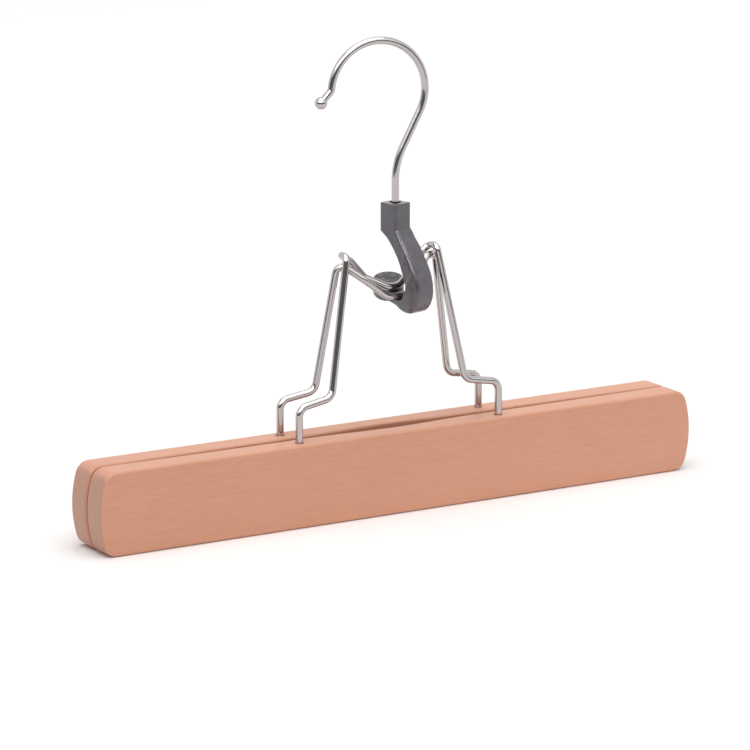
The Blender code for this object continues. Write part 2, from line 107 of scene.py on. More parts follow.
class Recipe:
    """A node tree, of a material or of the world, that nodes are added to."""

    def __init__(self, owner):
        owner.use_nodes = True
        self.tree = owner.node_tree

    def feed(self, socket, value):
        """Link a signal to a socket, or set the socket to a constant."""
        if isinstance(value, Signal):
            self.tree.links.new(value.socket, socket)
        else:
            socket.default_value = value

    def node(self, kind, sockets=None, output=0, stops=None, **settings):
        """Add a node: its settings, the stops of a ramp, then its sockets. Gives one output."""
        made = self.tree.nodes.new(kind)
        for setting, value in settings.items():
            setattr(made, setting, value)
        if stops:
            ramp = made.color_ramp
            while len(ramp.elements) < len(stops):
                ramp.elements.new(0.5)
            for element, (position, colour) in zip(ramp.elements, stops):
                element.position = position
                element.color = (*colour, 1.0)
        for socket, value in (sockets or {}).items():
            self.feed(made.inputs[socket], value)
        return Signal(self, made.outputs[output])

    def fade(self, value, start, end):
        """Rises smoothly from 0 to 1 as the value goes from start to end."""
        return self.node("ShaderNodeMapRange", {"Value": value, "From Min": start,
                                                "From Max": end},
                         interpolation_type="SMOOTHSTEP")


class Finish(Recipe):
    """A material with a Principled shader, made for one kind of surface."""

    def __init__(self, name, **constants):
        self.material = bpy.data.materials.new(name)
        super().__init__(self.material)
        self.shader = self.tree.nodes["Principled BSDF"]
        for socket, value in constants.items():
            self.shader.inputs[socket.replace("_", " ")].default_value = value

    def spot(self):
        """Object coordinates, so that a pattern stays fixed to its piece."""
        return self.node("ShaderNodeTexCoord", output="Object")

    def noise(self, scale, detail=2.0, roughness=0.5):
        """Noise with so many features a metre along X, Y and Z."""
        place = self.node("ShaderNodeMapping", {"Vector": self.spot(), "Scale": scale})
        return self.node("ShaderNodeTexNoise", {
            "Vector": place, "Scale": 1.0, "Detail": detail, "Roughness": roughness})

    def blend(self, share, first, second):
        """Mixes two colours by a share from 0 to 1."""
        return self.node("ShaderNodeMix", {0: share, 6: first, 7: second}, output=2,
                         data_type="RGBA")

    def bump(self, height, strength, distance):
        """A normal for a relief so deep, given in metres."""
        return self.node("ShaderNodeBump", {
            "Height": height, "Strength": strength, "Distance": distance})

    def give(self, socket, value):
        """Feed one input of the shader."""
        self.feed(self.shader.inputs[socket], value)
        return self


# %% [markdown]
# ## Wood
#
# The bars are a fine, even, pinkish-tan hardwood with a satin varnish. Real wood is a solid
# pattern, so all of it reads Object coordinates. Pores, streaks and flecks are noise that is
# stretched along X, the grain's way. The ends cut across the grain: they are darker, take up more
# varnish and show faint slanting growth rings about a far centre. The tone also rises slowly
# along X, so the wood is a little darker at one end than at the other.

# %% Wood finish
RING_TURNS, RING_WOBBLE = 2600.0, 4.0 * MM  # radians a metre, which is a ring every 2.4 mm


def wood_finish(name, ring_centre):
    """Varnished wood whose growth rings run about a far line through (Y, Z) in metres."""
    wood = Finish(name, Roughness=0.46, IOR=1.46, Coat_Weight=0.12, Coat_Roughness=0.3)
    spot = wood.spot()
    drift = wood.noise((9.0, 60.0, 60.0), detail=2.0)
    centred = wood.node("ShaderNodeVectorMath", {0: spot, 1: (0.0, *ring_centre)},
                        operation="SUBTRACT")
    across = wood.node("ShaderNodeVectorMath", {0: centred, 1: (0.03, 1.0, 1.0)},
                       operation="MULTIPLY")
    radius = wood.node("ShaderNodeVectorMath", {0: across}, output="Value",
                       operation="LENGTH")
    rings = ((radius + drift * RING_WOBBLE) * RING_TURNS).sine() * 0.5 + 0.5
    pores = wood.noise((420.0, 5200.0, 5200.0), detail=2.0, roughness=0.6)
    streaks = wood.noise((120.0, 2300.0, 2300.0), detail=2.0)
    flecks = wood.noise((60.0, 700.0, 700.0), detail=2.0)
    clouds = wood.noise((14.0, 45.0, 45.0), detail=2.0)
    # The tone rises slowly along X, so one end of each bar is a little lighter than the other.
    end_to_end = wood.node("ShaderNodeSeparateXYZ", {0: spot}, output="X")
    tone = pores * 0.30 + streaks * 0.34 + flecks * 0.18 + clouds * 0.18 + end_to_end * 0.4
    along = wood.node("ShaderNodeValToRGB", {"Fac": tone}, stops=[
        (0.30, (0.598, 0.285, 0.179)), (0.50, (0.669, 0.323, 0.205)),
        (0.70, (0.716, 0.360, 0.236))])
    end_tone = rings * 0.12 + pores * 0.53 + streaks * 0.35
    across_grain = wood.node("ShaderNodeValToRGB", {"Fac": end_tone}, stops=[
        (0.25, (0.455, 0.228, 0.157)), (0.75, (0.538, 0.290, 0.204))])
    normal = wood.node("ShaderNodeTexCoord", output="Normal")
    facing = wood.node("ShaderNodeSeparateXYZ", {0: normal}, output="X")
    end_grain = wood.fade(facing.math("ABSOLUTE", facing), 0.55, 0.92)
    wood.give("Base Color", wood.blend(end_grain, along, across_grain))
    wood.give("Roughness", pores * 0.12 + 0.40)
    return wood.give("Normal", wood.bump(pores * 0.6 + streaks * 0.4, 0.08, 0.2 * MM))


front_wood = wood_finish("front_bar_wood", (-0.055, 0.118))
rear_wood = wood_finish("rear_bar_wood", (0.071, 0.104))
print("wood nodes:", len(front_wood.tree.nodes))

# %% [markdown]
# ## Helpers for a piece
#
# A finished form becomes an object at the origin, takes the place of its CAD node and rides on
# that node's body. Weighted normals keep the big flat faces flat beside their rounded edges.

# %% Finish a piece
SMOOTH_ANGLE = 40.0


def settle(piece, finish, node, body):
    """Give a new piece its finish, and let it stand for its CAD node on its body."""
    piece.data.materials.clear()
    piece.data.materials.append(finish.material)
    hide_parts(node)
    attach(piece, body)


def as_object(name, form):
    """Turn a form into an object of the scene, at the origin."""
    bmesh.ops.recalc_face_normals(form, faces=form.faces)
    mesh = bpy.data.meshes.new(name)
    form.to_mesh(mesh)
    form.free()
    piece = bpy.data.objects.new(name, mesh)
    bpy.context.scene.collection.objects.link(piece)
    return piece


def carve(piece, tools, operation="DIFFERENCE"):
    """Apply Boolean steps with other forms, which are used up."""
    for tool in tools:
        step = piece.modifiers.new(tool.name, "BOOLEAN")
        step.operation = operation
        step.solver = "EXACT"
        step.object = tool
    apply_steps(piece)
    for tool in tools:
        bpy.data.objects.remove(tool)


def apply_steps(piece):
    """Replace a piece's mesh by the one that its modifiers make."""
    evaluated = piece.evaluated_get(bpy.context.evaluated_depsgraph_get())
    piece.data = bpy.data.meshes.new_from_object(evaluated)
    piece.modifiers.clear()
    return piece


def polish(piece, angle=SMOOTH_ANGLE):
    """Shade smooth between sharp edges, with normals that follow the larger faces."""
    piece.data.shade_smooth()
    piece.data.set_sharp_from_angle(angle=math.radians(angle))
    step = piece.modifiers.new("weighted normals", "WEIGHTED_NORMAL")
    step.keep_sharp = True
    return piece


# %% [markdown]
# ## Jaw bars
#
# Each bar is a strip with straight long edges and barrel-shaped ends. The outline is drawn once:
# a spin makes the end's arc, a mirror gives the other end, and a vertex bevel rounds the four
# corners. Extruding it gives the strip, and an edge bevel softens the rims. The inner face is
# hollow lengthwise by about a millimetre, so that the ends pinch first and the grip is even, and
# it has a shallow dish in the middle, where the folded top of the hair lies.

# %% Sizes of the bars
LENGTH, HEIGHT, THICKNESS = 250.0 * MM, 30.6 * MM, 10.6 * MM
GAP, BULGE, CORNER = 1.2 * MM, 3.0 * MM, 3.4 * MM
HOLLOW, SCOOP, SCOOP_REACH = 1.1 * MM, 1.8 * MM, 34.0 * MM
OUTER_EDGE, INNER_EDGE = 1.0 * MM, 0.9 * MM
ARC_MARGIN = 4.5 * MM
STATIONS, TINY = 48, 1e-7
FOOT_SPREAD, FOOT_OFFSET, FOOT_DEPTH = 42.2 * MM, 6.9 * MM, 12.0 * MM
WIRE, PLAY = 2.7 * MM, 0.3 * MM


def hollow(x):
    """How far the inner face lies back at x: a long shallow hollow and a dish in the middle."""
    dish = (1 + math.cos(math.pi * min(1.0, abs(x) / SCOOP_REACH))) / 2
    return HOLLOW * (1 - (2 * x / LENGTH) ** 2) + SCOOP * dish


# %% [markdown]
# The two arcs and the straight edges between them close one face, and the face is pulled to the
# bar's thickness. The same function draws the front bar on one side of the middle plane and the
# rear bar on the other.

# %% Draw and extrude a bar
def bar_form(side):
    """The plain strip of one bar, on the side -1 or 1 of the middle plane."""
    form = bmesh.new()
    middle = HEIGHT / 2
    end_radius = (middle ** 2 + BULGE ** 2) / (2 * BULGE)
    centre = Vector((LENGTH / 2 - end_radius, 0.0, middle))
    reach = math.asin((middle - ARC_MARGIN) / end_radius)
    corner_x = LENGTH / 2 - BULGE
    start = Vector((end_radius * math.cos(reach), 0.0, -end_radius * math.sin(reach)))
    first = form.verts.new(centre + start)
    bmesh.ops.spin(form, geom=[first], cent=centre, axis=(0.0, -1.0, 0.0),
                   angle=2 * reach, steps=8)
    form.verts.ensure_lookup_table()
    arc = sorted(form.verts, key=lambda vertex: vertex.co.z)
    bottom = form.verts.new((corner_x, 0.0, 0.0))
    top = form.verts.new((corner_x, 0.0, HEIGHT))
    for a, b in ((bottom, arc[0]), (arc[-1], top)):
        form.edges.new((a, b))
    bmesh.ops.mirror(form, geom=form.verts[:] + form.edges[:], axis="X")
    corners = [vertex for vertex in form.verts if abs(abs(vertex.co.x) - corner_x) < TINY]
    for height in (0.0, HEIGHT):
        form.edges.new([vertex for vertex in corners if abs(vertex.co.z - height) < TINY])
    bmesh.ops.contextual_create(form, geom=form.edges[:])
    corners = [vertex for vertex in form.verts if abs(abs(vertex.co.x) - corner_x) < TINY
               and min(abs(vertex.co.z), abs(vertex.co.z - HEIGHT)) < TINY]
    bmesh.ops.bevel(form, geom=corners, offset=CORNER, segments=7, profile=0.5,
                    affect="VERTICES", material=-1)
    grown = bmesh.ops.extrude_face_region(form, geom=form.faces[:])["geom"]
    moved = [item for item in grown if isinstance(item, bmesh.types.BMVert)]
    bmesh.ops.translate(form, vec=(0.0, side * THICKNESS, 0.0), verts=moved)
    bmesh.ops.translate(form, vec=(0.0, side * GAP / 2, 0.0), verts=form.verts)
    bmesh.ops.recalc_face_normals(form, faces=form.faces)
    return form


# %% [markdown]
# A cutter would round the rims along the outline, and so does an edge bevel. The strip is then cut
# across at many stations, which gives its inner face enough points to be moved into the hollow.

# %% Round the rims and hollow the inner face
def rim(form, offset):
    """The edges of the outline that lies at this distance from the middle plane."""
    return [edge for edge in form.edges
            if all(abs(abs(vertex.co.y) - offset) < TINY for vertex in edge.verts)]


def make_bar(name, side):
    """One bar as a piece, before the rebate and the foot holes are cut."""
    form = bar_form(side)
    for offset, width in ((GAP / 2 + THICKNESS, OUTER_EDGE), (GAP / 2, INNER_EDGE)):
        bmesh.ops.bevel(form, geom=rim(form, offset), offset=width, segments=5,
                        profile=0.5, affect="EDGES", material=-1)
    for step in range(1, STATIONS):
        x = LENGTH * (step / STATIONS - 0.5)
        bmesh.ops.bisect_plane(form, geom=form.verts[:] + form.edges[:] + form.faces[:],
                               plane_co=(x, 0.0, 0.0), plane_no=(1.0, 0.0, 0.0))
    for vertex in form.verts:
        if abs(vertex.co.y) < GAP / 2 + INNER_EDGE + 10 * TINY:
            vertex.co.y += side * hollow(vertex.co.x)
    return as_object(name, form)


# %% [markdown]
# The felt sits in a shallow rebate of the inner face, and each wire foot stands in a drilled
# hole. Both are cut with Boolean tools that are shaped the same way as the bar.

# %% Tools for the rebate and the foot holes
LINING_X, LINING_LOW, LINING_HIGH = 118.0 * MM, 4.0 * MM, HEIGHT - 4.0 * MM
LINING_THICK, LINING_PROUD = 1.2 * MM, 0.3 * MM


def strip(name, side, half_length, near, far, low, high, curved_near=True):
    """A slab beside the inner face, with one or both of its faces following the hollow."""
    form = bmesh.new()
    bmesh.ops.create_cube(form, size=1.0)
    bmesh.ops.scale(form, vec=(2 * half_length, abs(far - near), high - low), verts=form.verts)
    bmesh.ops.translate(form, vec=(0.0, side * (near + far) / 2, (low + high) / 2),
                        verts=form.verts)
    long_edges = [edge for edge in form.edges
                  if abs(edge.verts[0].co.x - edge.verts[1].co.x) > half_length]
    bmesh.ops.subdivide_edges(form, edges=long_edges, cuts=STATIONS - 1,
                              use_grid_fill=True)
    for vertex in form.verts:
        if curved_near or abs(abs(vertex.co.y) - abs(far)) < TINY:
            vertex.co.y += side * hollow(vertex.co.x)
    return as_object(name, form)


def foot_hole(name, x, y):
    """A round tool for the hole of one wire foot."""
    form = bmesh.new()
    depth = FOOT_DEPTH + PLAY
    bmesh.ops.create_cone(form, cap_ends=True, segments=32, radius1=WIRE / 2 + PLAY,
                          radius2=WIRE / 2 + PLAY, depth=2 * depth,
                          matrix=Matrix.Translation((x, y, HEIGHT)))
    return as_object(name, form)


# %% [markdown]
# The bars are alike, so one loop makes both. Each takes the place of its CAD node and moves with
# its own jaw.

# %% Make both bars
for name, side, body, finish in (("front_bar", -1, "front_jaw", front_wood),
                                 ("rear_bar", 1, "rear_jaw", rear_wood)):
    bar = make_bar(name + "_wood", side)
    rebate = strip(name + "_rebate", side, LINING_X + PLAY, -THICKNESS,
                   GAP / 2 + LINING_THICK - LINING_PROUD + PLAY, LINING_LOW - PLAY,
                   LINING_HIGH + PLAY, curved_near=False)
    holes = [foot_hole(name + "_hole", end * FOOT_SPREAD, side * FOOT_OFFSET)
             for end in (-1, 1)]
    carve(bar, [rebate, *holes])
    settle(polish(bar), finish, name, body)
    print(name, len(bar.data.polygons), "faces")

# %% [markdown]
# ## Felt linings
#
# The inner faces are lined with a strip of felt, so that the clamp holds fine hair without
# creasing it. Felt has no weave: it is a mat of short fibres, so its colour and its bump come
# from fine noise, and a little sheen makes it look soft at a glancing angle.

# %% Felt finish and strips
def felt_finish(name):
    """A brown mat of short fibres with no weave."""
    felt = Finish(name, Roughness=0.95, Sheen_Weight=0.35, Sheen_Roughness=0.5)
    fibres = felt.noise((1400.0, 1400.0, 1400.0), detail=6.0, roughness=0.75)
    mat = felt.noise((240.0, 240.0, 240.0), detail=3.0)
    tone = fibres * 0.7 + mat * 0.3
    felt.give("Base Color", felt.node("ShaderNodeValToRGB", {"Fac": tone}, stops=[
        (0.30, (0.175, 0.095, 0.060)), (0.70, (0.420, 0.250, 0.170))]))
    return felt.give("Normal", felt.bump(tone, 0.6, 0.4 * MM))


for name, side, body in (("front_lining", -1, "front_jaw"), ("rear_lining", 1, "rear_jaw")):
    near = GAP / 2 - LINING_PROUD
    felt = strip(name + "_felt", side, LINING_X, near, near + LINING_THICK,
                 LINING_LOW, LINING_HIGH)
    settle(polish(felt), felt_finish(name + "_felt"), name, body)
    print(name, "is", round((LINING_HIGH - LINING_LOW) / MM, 1), "mm wide")

# %% [markdown]
# ## Chrome
#
# The wires are bright plated steel. Plating on drawn wire is smooth but not perfect, so the
# roughness wanders a little, and a faint bump makes the reflections waver as they do on wire.

# %% Chrome finish
def chrome_finish(name):
    """Bright plating on drawn wire, whose gloss wavers a little."""
    chrome = Finish(name, Metallic=1.0, Base_Color=(0.500, 0.468, 0.465, 1.0))
    wander = chrome.noise((180.0, 180.0, 60.0), detail=3.0)
    grain = chrome.noise((1500.0, 1500.0, 260.0), detail=2.0)
    chrome.give("Roughness", wander * 0.08 + grain * 0.04 + 0.06)
    return chrome.give("Normal", chrome.bump(wander * 0.8 + grain * 0.2, 0.06, 0.3 * MM))


# %% [markdown]
# ## Bent wire
#
# A wire frame is one piece of wire, bent at a few corners. The centreline is a list of corners
# with bend radii: each corner becomes an arc that meets its straight runs without a kink. A
# curve with a round bevel then gives the wire its thickness.

# %% Centreline and wire
ARC_STEP = 0.09


def bent_wire(corners):
    """A path through (corner, bend radius) pairs, with an arc in place of each inner corner."""
    spots = [Vector(spot) for spot, radius in corners]
    path = [spots[0]]
    for before, (spot, radius), after in zip(spots[:-2], corners[1:-1], spots[2:]):
        here = Vector(spot)
        back_way, ahead = (before - here).normalized(), (after - here).normalized()
        half = back_way.angle(ahead) / 2
        centre = here + (back_way + ahead).normalized() * radius / math.sin(half)
        start = here + back_way * radius / math.tan(half) - centre
        end = here + ahead * radius / math.tan(half) - centre
        turn = math.pi - 2 * half
        steps = max(3, math.ceil(turn / ARC_STEP))
        for step in range(steps + 1):
            share = step / steps
            blend = start * math.sin((1 - share) * turn) + end * math.sin(share * turn)
            path.append(centre + blend / math.sin(turn))
    path.append(spots[-1])
    return path


def wire_piece(name, path, radius, swell=None):
    """A round wire along a path, as a mesh. The list swell scales its radius point by point."""
    curve = bpy.data.curves.new(name, "CURVE")
    curve.dimensions = "3D"
    curve.bevel_depth = radius
    curve.bevel_resolution = 8
    curve.use_fill_caps = True
    spline = curve.splines.new("POLY")
    spline.points.add(len(path) - 1)
    for index, spot in enumerate(path):
        spline.points[index].co = (*spot, 1.0)
        if swell is not None:
            spline.points[index].radius = swell[index]
    spline.use_smooth = True
    piece = bpy.data.objects.new(name, curve)
    bpy.context.scene.collection.objects.link(piece)
    mesh = bpy.data.meshes.new_from_object(
        piece.evaluated_get(bpy.context.evaluated_depsgraph_get()))
    bpy.data.objects.remove(piece)
    piece = bpy.data.objects.new(name, mesh)
    bpy.context.scene.collection.objects.link(piece)
    mesh.shade_smooth()
    mesh.set_sharp_from_angle(angle=math.radians(SMOOTH_ANGLE))
    return piece


# %% [markdown]
# Every leg is the same: a foot in its hole, an elbow just above the bar, a short jog inwards and
# a knee. Above the knees the two frames differ, so their corners are given from the hinge line.

# %% Corners of the two frames
HINGE_Y, HINGE_Z, HINGE_PLAY = 1.2 * MM, 93.45 * MM, 0.6 * MM
RISE = (WIRE + HINGE_PLAY) / 2
ELBOW_HEIGHT, ELBOW_RADIUS = 43.2 * MM, 3.6 * MM
KNEE_SPREAD, KNEE_OFFSET = 28.2 * MM, 6.1 * MM
KNEE_HEIGHT, KNEE_RADIUS = 45.4 * MM, 4.2 * MM


def leg(sign, side):
    """The foot, elbow and knee of the leg at the end sign of the bar at this side."""
    x, y = sign * FOOT_SPREAD, side * FOOT_OFFSET
    return [((x, y, HEIGHT - FOOT_DEPTH), 0.0), ((x, y, ELBOW_HEIGHT), ELBOW_RADIUS),
            ((sign * KNEE_SPREAD, side * KNEE_OFFSET, KNEE_HEIGHT), KNEE_RADIUS)]


def by_hinge(x, reach, drop, radius):
    """A corner at x, so far behind and below the hinge line, and its bend radius, all in mm."""
    return (x * MM, HINGE_Y + reach * MM, HINGE_Z - drop * MM), radius * MM


# %% [markdown]
# The front frame arches over the rear frame's wire at each top corner, and from there its
# crossbar sags behind. The rear frame passes under the arches and sags in front. The two wires
# hold each other like two hooks, and that is the hanger's hinge.

# %% Bend both frames
LOWER_DROP = 14.35


def front_half(sign, seat):
    """The front frame from one foot up over its arch and down to its crossbar's seat."""
    rise = -RISE / MM
    return leg(sign, -1) + [
        by_hinge(sign * 19.0, -2.4, rise, 2.1), by_hinge(sign * 19.0, 2.6, rise, 2.1),
        by_hinge(sign * 14.6, 2.2, 1.2, 5.0), by_hinge(sign * 9.6, 0.8, 7.5, 5.0),
        by_hinge(seat, -2.1, 11.3, 6.0)]


front_path = bent_wire(front_half(-1, -1.6) + front_half(1, 3.0)[::-1])
rear_left = leg(-1, 1) + [
    by_hinge(-20.6, 1.4, RISE / MM - 0.9, 2.6), by_hinge(-12.6, -3.7, 7.1, 5.0),
    by_hinge(-2.8, -3.9, LOWER_DROP, 6.0)]
rear_right = leg(1, 1) + [
    by_hinge(20.6, 1.4, RISE / MM, 2.6), by_hinge(14.6, -1.9, RISE / MM, 3.0),
    by_hinge(10.4, -3.7, 8.9, 5.0), by_hinge(6.8, -3.9, LOWER_DROP, 3.0)]
rear_path = bent_wire(rear_left + rear_right[::-1])

for name, body, path in (("front_wire_frame", "front_jaw", front_path),
                         ("rear_wire_frame", "rear_jaw", rear_path)):
    wire = wire_piece(name + "_chrome", path, WIRE / 2)
    settle(wire, chrome_finish(name + "_chrome"), name, body)
    length = sum((b - a).length for a, b in zip(path[:-1], path[1:]))
    print(name, "is bent from", round(length / MM), "mm of wire")

# %% [markdown]
# ## Lock clip
#
# One grey moulding: a square block for the hook's stem, an arm that curves forward and down, a
# cup below the crossbars and a round thumb knob behind them. The arm changes width, thickness
# and edge radius on its way, so it is lofted: a smooth curve runs through a few cross-sections,
# each a rectangle with the radii of its edges, and bridging the rectangles gives the body. The
# radii become bevel weights. The clip's sizes are in millimetres: forward of its upright axis,
# across it and above the floor of its cup.

# %% Sizes of the clip
CLIP_TURN, CUP_PLAY = math.radians(14.0), 0.3
CUP_FLOOR = HINGE_Z / MM - LOWER_DROP - WIRE / MM / 2 - CUP_PLAY
CLIP_AXIS = Vector((4.06, 3.2, 0.0))
FORWARD = Vector((math.sin(CLIP_TURN), -math.cos(CLIP_TURN), 0.0))
ACROSS = Vector((math.cos(CLIP_TURN), math.sin(CLIP_TURN), 0.0))
BLOCK_TOP, BLOCK_HALF, BLOCK_EDGE, TOP_EDGE, WIDEST_EDGE = 34.7, 4.1, 1.1, 0.5, 1.6
KNOB_FORWARD, KNOB_TOP, KNOB_TILT = -3.48, 6.2, math.radians(15.0)
# Each section: outer forward and height, inner forward and height, half width, edge radii.
ARM = [(4.1, 25.8, -4.1, 24.2, 4.10, 1.1, 1.1), (6.3, 22.3, -0.5, 21.9, 4.23, 1.1, 0.8),
       (8.3, 19.8, 2.3, 19.2, 4.39, 1.1, 0.5), (10.0, 17.4, 4.2, 16.9, 4.52, 1.1, 0.5),
       (12.0, 14.3, 6.0, 14.2, 4.62, 1.35, 0.5), (13.7, 11.2, 7.5, 11.1, 4.75, 1.35, 0.5),
       (15.0, 8.0, 8.9, 7.9, 4.75, 1.6, 0.5), (15.6, 4.8, 9.5, 5.0, 4.75, 1.6, 0.5),
       (15.4, 1.4, 8.6, 2.5, 4.75, 1.6, 0.5), (13.9, -2.2, 7.6, 0.75, 4.75, 1.6, 0.5),
       (11.2, -4.4, 6.6, 0.0, 4.55, 1.6, 0.5), (7.3, -4.2, 5.0, 0.0, 4.36, 1.6, 0.5),
       (3.9, -2.5, 3.2, 0.1, 4.10, 1.1, 0.5), (1.0, -1.4, 1.0, 1.1, 4.10, 0.55, 0.25),
       (KNOB_FORWARD, 0.1, KNOB_FORWARD, 3.0, 4.10, 0.0, 0.0)]


def clip_spot(forward, height, across=0.0):
    """A place on the clip, from millimetres in its own directions."""
    flat = CLIP_AXIS + FORWARD * forward + ACROSS * across
    return (flat + Vector((0.0, 0.0, CUP_FLOOR + height))) * MM


def smooth_curve(points, count):
    """A curve through all the points, with count steps a span."""
    first = [tuple(2 * a - b for a, b in zip(points[0], points[1]))]
    last = [tuple(2 * a - b for a, b in zip(points[-1], points[-2]))]
    run = first + list(points) + last
    curve = []
    for a, b, c, d in zip(run[:-3], run[1:-2], run[2:-1], run[3:]):
        for step in range(count):
            t = step / count
            curve.append(tuple(
                0.5 * (2 * q + (r - p) * t + (2 * p - 5 * q + 4 * r - s) * t ** 2
                       + (3 * q - p - 3 * r + s) * t ** 3)
                for p, q, r, s in zip(a, b, c, d)))
    curve.append(tuple(points[-1]))
    return curve


print("the clip's block is", round(BLOCK_TOP - ARM[0][1], 1), "mm high in front")

# %% [markdown]
# The block's top and the arm's sections are the rings of the body. Each side edge gets the mean
# radius of the two sections that it joins, and one bevel rounds them all by their weights.

# %% Loft the clip's body
def loft(rings):
    """Bridge closed rings of points, and cap both ends."""
    form = bmesh.new()
    loops = []
    for ring in rings:
        spots = [form.verts.new(spot) for spot in ring]
        loops.append([form.edges.new(pair) for pair in zip(spots, spots[1:] + spots[:1])])
    for low, high in zip(loops[:-1], loops[1:]):
        bmesh.ops.bridge_loops(form, edges=low + high)
    for loop in (loops[0], loops[-1]):
        bmesh.ops.contextual_create(form, geom=loop)
    return form


def clip_body():
    """The block, arm and cup in one, with rounded edges."""
    sections = [(BLOCK_HALF, BLOCK_TOP, -BLOCK_HALF, BLOCK_TOP, BLOCK_HALF, BLOCK_EDGE,
                 BLOCK_EDGE)]
    sections += smooth_curve(ARM, 6)
    form = loft([
        [clip_spot(out, out_z, -half), clip_spot(out, out_z, half),
         clip_spot(inner, inner_z, half), clip_spot(inner, inner_z, -half)]
        for out, out_z, inner, inner_z, half, _, _ in sections])
    form.verts.ensure_lookup_table()
    weight = form.edges.layers.float.new("bevel_weight_edge")
    for corner in range(4):
        after = (corner + 1) % 4
        top_rim = form.edges.get((form.verts[corner], form.verts[after]))
        top_rim[weight] = TOP_EDGE / WIDEST_EDGE
        # The first two corners are the outer ones. Their radius is in a section's column 5.
        radii = [section[5 if corner < 2 else 6] for section in sections]
        for index, (low, high) in enumerate(zip(radii[:-1], radii[1:])):
            side = form.edges.get((form.verts[4 * index + corner],
                                   form.verts[4 * index + 4 + corner]))
            side[weight] = (low + high) / 2 / WIDEST_EDGE
    body = as_object("lock_clip_plastic", form)
    step = body.modifiers.new("rounded edges", "BEVEL")
    step.width, step.segments, step.limit_method = WIDEST_EDGE * MM, 5, "WEIGHT"
    return apply_steps(body)


# %% [markdown]
# A low tongue is raised on the arm's front. Its foot is round and rises slowly out of the arm, its
# face is a little dished inside a soft bead, and the bead closes over its top end. Its rings lie
# along the same curve as the arm, so that it follows the arm's bend.

# %% Tongue on the arm's front
TONGUE_FOOT, TONGUE_LENGTH, TONGUE_INSET, TONGUE_ROOT = 9.8, 15.6, 0.5, 1.0
# Shares of the length: the round foot is full width at the first, the bead is full height at the
# second, and the top end starts at the third.
FOOT_ROUND, FOOT_RISE, TOP_START = 1 / 1.9, 1 / 2.4, 0.9
BEAD_LIFT, FOOT_SINK, TOP_NARROWING, SIDE_PART = 0.30, 0.03, 0.14, 0.96
# Half of its cross-section, from the left side to the middle: part of the half width, lift.
TONGUE = [(-1.0, -0.10), (-0.97, 0.12), (-0.94, 0.22), (-0.90, 0.28), (-0.86, BEAD_LIFT),
          (-0.82, 0.28), (-0.75, 0.20), (-0.5, 0.10), (0.0, 0.05)]


def clip_tongue():
    """The tongue as a closed form that reaches a little into the arm."""
    face = [section for section in smooth_curve(ARM, 8)
            if TONGUE_FOOT < section[1] < TONGUE_FOOT + TONGUE_LENGTH]
    rings = []
    for forward, height, _, _, wide, _, _ in face:
        share = (height - TONGUE_FOOT) / TONGUE_LENGTH
        risen = min(1.0, share / FOOT_RISE)
        at_top = max(0.0, (share - TOP_START) / (1 - TOP_START))
        roundness = math.sqrt(1 - (1 - min(1.0, share / FOOT_ROUND)) ** 2)
        reach = (wide - TONGUE_INSET) * roundness * (1 - TOP_NARROWING * at_top ** 2)
        ring = [clip_spot(forward - TONGUE_ROOT, height, -reach)]
        for part, lift in TONGUE + [(-part, lift) for part, lift in TONGUE[-2::-1]]:
            lift += (BEAD_LIFT - lift) * at_top * (abs(part) < SIDE_PART)
            lift = lift * risen - FOOT_SINK * (1 - risen)
            ring.append(clip_spot(forward + lift, height, reach * part))
        ring.append(clip_spot(forward - TONGUE_ROOT, height, reach))
        rings.append(ring)
    return as_object("tongue", loft(rings))


# %% [markdown]
# The knob is a spun profile with a small rim and a large rounded heel, and its flat top leans a
# little forward and to the left. The hook's stem and head turn in a socket in the block, and the
# tool that cuts it is spun too.

# %% Knob and socket
KNOB_RADIUS, KNOB_RIM, KNOB_HEEL, KNOB_THICK = 5.65, 0.7, 2.2, 7.5
STEM_RADIUS, HEAD_RADIUS, HEAD_TOP, STEM_DEPTH = 1.4, 2.2, 7.5, 8.5
MOUTH_RADIUS, MOUTH_DEPTH, SOCKET_PLAY, ABOVE = 2.3, 0.8, 0.3, 3.0


def spun(name, profile, steps, place):
    """A solid spun about Z from (radius, height) pairs in mm, then put in place."""
    form = bmesh.new()
    line = [form.verts.new((radius * MM, 0.0, height * MM)) for radius, height in profile]
    for a, b in zip(line[:-1], line[1:]):
        form.edges.new((a, b))
    bmesh.ops.spin(form, geom=form.verts[:] + form.edges[:], cent=(0.0, 0.0, 0.0),
                   axis=(0.0, 0.0, 1.0), angle=math.tau, steps=steps, use_merge=True)
    bmesh.ops.remove_doubles(form, verts=form.verts, dist=TINY)
    bmesh.ops.transform(form, matrix=place, verts=form.verts)
    return as_object(name, form)


def rounded(centre, radius, start, end, count):
    """Points of an arc about a centre, from one angle to another in count steps."""
    angles = [start + (end - start) * step / count for step in range(count + 1)]
    return [(centre[0] + radius * math.cos(a), centre[1] + radius * math.sin(a))
            for a in angles]


def clip_knob():
    """The thumb knob behind the crossbars, in its place."""
    lean = (FORWARD - ACROSS).normalized()
    axis = (Vector((0.0, 0.0, 1.0)) + lean * math.tan(KNOB_TILT)).normalized()
    place = (Matrix.Translation(clip_spot(KNOB_FORWARD, KNOB_TOP))
             @ axis.to_track_quat("Z", "Y").to_matrix().to_4x4())
    profile = [(0.0, 0.0)]
    profile += rounded((KNOB_RADIUS - KNOB_RIM, -KNOB_RIM), KNOB_RIM, math.pi / 2, 0.0, 5)
    profile += rounded((KNOB_RADIUS - KNOB_HEEL, KNOB_HEEL - KNOB_THICK), KNOB_HEEL,
                       0.0, -math.pi / 2, 8)
    profile.append((0.0, -KNOB_THICK))
    return spun("knob", profile, 64, place)


